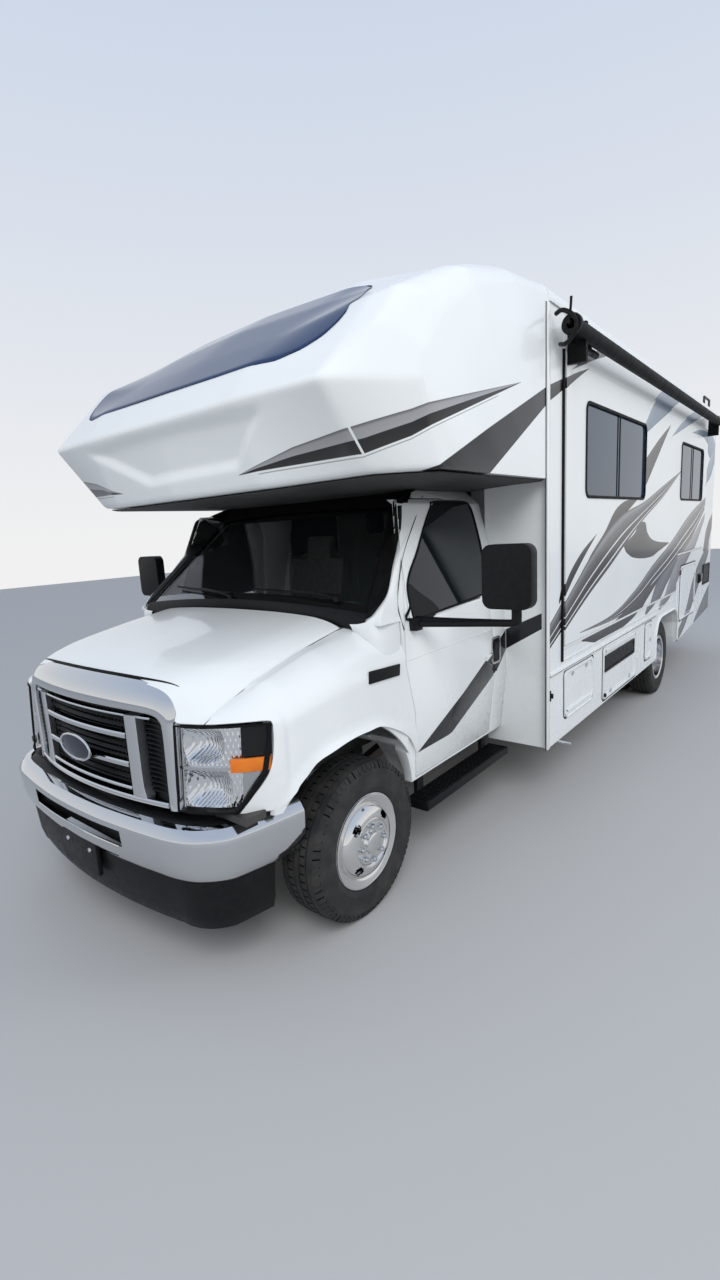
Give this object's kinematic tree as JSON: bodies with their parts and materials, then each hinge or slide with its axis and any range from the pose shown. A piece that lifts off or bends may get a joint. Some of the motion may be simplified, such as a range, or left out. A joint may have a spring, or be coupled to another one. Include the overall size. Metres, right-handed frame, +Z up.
{
  "type": "motorhome",
  "caption": "Cutaway-van motorhome with an over-cab cap, a slide-out room on the left side, opening doors, hood and lockers, steering and free wheels.",
  "frame": {"origin": "on the ground, at the middle of the overall length and width", "axes": "+Z up, front faces -Y, +X is the vehicle's left"},
  "size_m": [3.1, 7.92, 3.35],
  "materials": {
    "body_white": "gloss white with grey, black and bronze swoosh graphics",
    "black_frame": "satin black",
    "cast_metal": "rough cast",
    "chrome_trim": "bright",
    "black_plastic": "fine grain",
    "interior_grey": "woven",
    "lamp_clear": "clear lens",
    "lamp_red": "red lens",
    "tinted_glass": "tinted",
    "tyre_rubber": "tread",
    "wheel_steel": "polished",
    "floor_wood": "plywood",
    "white_plastic": "moulded"
  },
  "bodies": {
    "vehicle": {"frame_rails": "black_frame", "frame_crossmembers": "black_frame", "frame_outriggers": "black_frame", "hitch_receiver": "black_frame", "engine_block": "cast_metal", "driveline": "cast_metal", "front_axle": "cast_metal", "rear_axle": "cast_metal", "cab_shell": "body_white", "cab_interior": "interior_grey", "cab_trim": "black_plastic", "fenders": "body_white", "grille": "chrome_trim", "headlamps": "lamp_clear", "front_bumper": "chrome_trim", "coach_floor": "floor_wood", "wheel_houses": "body_white", "left_wall": "body_white", "right_wall": "body_white", "front_wall": "body_white", "rear_wall": "body_white", "coach_roof": "body_white", "overcab_cap": "body_white", "fixed_glass": "tinted_glass", "roof_units": "white_plastic", "rear_ladder": "black_frame", "tail_lamps": "lamp_red", "patio_awning": "white_plastic"},
    "slide_out": {"slide_outer_wall": "body_white", "slide_decks": "body_white", "slide_ends": "body_white", "slide_glass": "tinted_glass", "slide_topper": "black_frame"},
    "hood": {"hood": "body_white"},
    "entry_door": {"entry_door": "body_white", "entry_glass": "tinted_glass"},
    "cargo_door_front_body": {"cargo_door_front": "body_white"},
    "cargo_door_mid_body": {"cargo_door_mid": "body_white"},
    "service_door_body": {"service_door": "body_white"},
    "utility_door_body": {"utility_door": "body_white"},
    "cargo_door_right_body": {"cargo_door_right": "body_white"},
    "cab_door_left_body": {"cab_door_left": "body_white", "cab_glass_left": "tinted_glass", "mirror_left": "black_plastic"},
    "knuckle_left_body": {"knuckle_left": "cast_metal"},
    "front_wheel_left_body": {"front_tyre_left": "tyre_rubber", "front_wheel_left": "wheel_steel"},
    "rear_wheels_left_body": {"rear_tyres_left": "tyre_rubber", "rear_wheels_left": "wheel_steel"},
    "cab_door_right_body": {"cab_door_right": "body_white", "cab_glass_right": "tinted_glass", "mirror_right": "black_plastic"},
    "knuckle_right_body": {"knuckle_right": "cast_metal"},
    "front_wheel_right_body": {"front_tyre_right": "tyre_rubber", "front_wheel_right": "wheel_steel"},
    "rear_wheels_right_body": {"rear_tyres_right": "tyre_rubber", "rear_wheels_right": "wheel_steel"}
  },
  "joints": [
    {"name": "cargo_door_front_hinge", "type": "hinge", "parent": "vehicle", "child": "cargo_door_front_body", "pos_m": [1.2763, -1.11064, 0.522], "axis": [0, 1, 0], "range_deg": [0, 100]},
    {"name": "cargo_door_mid_hinge", "type": "hinge", "parent": "vehicle", "child": "cargo_door_mid_body", "pos_m": [1.2763, -0.14496, 0.838], "axis": [0, -1, 0], "range_deg": [0, 85]},
    {"name": "service_door_hinge", "type": "hinge", "parent": "vehicle", "child": "service_door_body", "pos_m": [1.2763, 0.60737, 0.66], "axis": [0, 0, -1], "range_deg": [0, 90]},
    {"name": "utility_door_hinge", "type": "hinge", "parent": "vehicle", "child": "utility_door_body", "pos_m": [1.2763, 2.022, 0.935], "axis": [0, 0, -1], "range_deg": [0, 90]},
    {"name": "cargo_door_right_hinge", "type": "hinge", "parent": "vehicle", "child": "cargo_door_right_body", "pos_m": [-1.2763, -1.03039, 0.838], "axis": [0, 1, 0], "range_deg": [0, 85]},
    {"name": "cab_door_left_hinge", "type": "hinge", "parent": "vehicle", "child": "cab_door_left_body", "pos_m": [1, -2.75, 0.9], "axis": [0, 0, -1], "range_deg": [0, 65]},
    {"name": "steer_left", "type": "hinge", "parent": "vehicle", "child": "knuckle_left_body", "pos_m": [0.755, -3.085, 0.37], "axis": [0, 0, 1], "range_deg": [-30, 30]},
    {"name": "front_wheel_left_spin", "type": "hinge", "parent": "knuckle_left_body", "child": "front_wheel_left_body", "pos_m": [0.8815, -3.085, 0.37], "axis": [1, 0, 0], "continuous": true},
    {"name": "rear_wheels_left_spin", "type": "hinge", "parent": "vehicle", "child": "rear_wheels_left_body", "pos_m": [0.984, 1.385, 0.37], "axis": [1, 0, 0], "continuous": true},
    {"name": "cab_door_right_hinge", "type": "hinge", "parent": "vehicle", "child": "cab_door_right_body", "pos_m": [-1, -2.75, 0.9], "axis": [0, 0, 1], "range_deg": [0, 65]},
    {"name": "steer_right", "type": "hinge", "parent": "vehicle", "child": "knuckle_right_body", "pos_m": [-0.755, -3.085, 0.37], "axis": [0, 0, 1], "range_deg": [-30, 30]},
    {"name": "front_wheel_right_spin", "type": "hinge", "parent": "knuckle_right_body", "child": "front_wheel_right_body", "pos_m": [-0.8815, -3.085, 0.37], "axis": [1, 0, 0], "continuous": true},
    {"name": "rear_wheels_right_spin", "type": "hinge", "parent": "vehicle", "child": "rear_wheels_right_body", "pos_m": [-0.984, 1.385, 0.37], "axis": [1, 0, 0], "continuous": true},
    {"name": "hood_hinge", "type": "hinge", "parent": "vehicle", "child": "hood", "pos_m": [0, -2.929, 1.388], "axis": [-1, 0, 0], "range_deg": [0, 48]},
    {"name": "entry_door_hinge", "type": "hinge", "parent": "vehicle", "child": "entry_door", "pos_m": [-1.2763, -0.333, 1.5], "axis": [0, 0, 1], "range_deg": [0, 95]},
    {"name": "slide_out_travel", "type": "slide", "parent": "vehicle", "child": "slide_out", "axis": [1, 0, 0], "range_m": [0, 0.58]}
  ],
  "couplings": [
    {"joint": "steer_right", "follows": "steer_left", "ratio": 1}
  ]
}
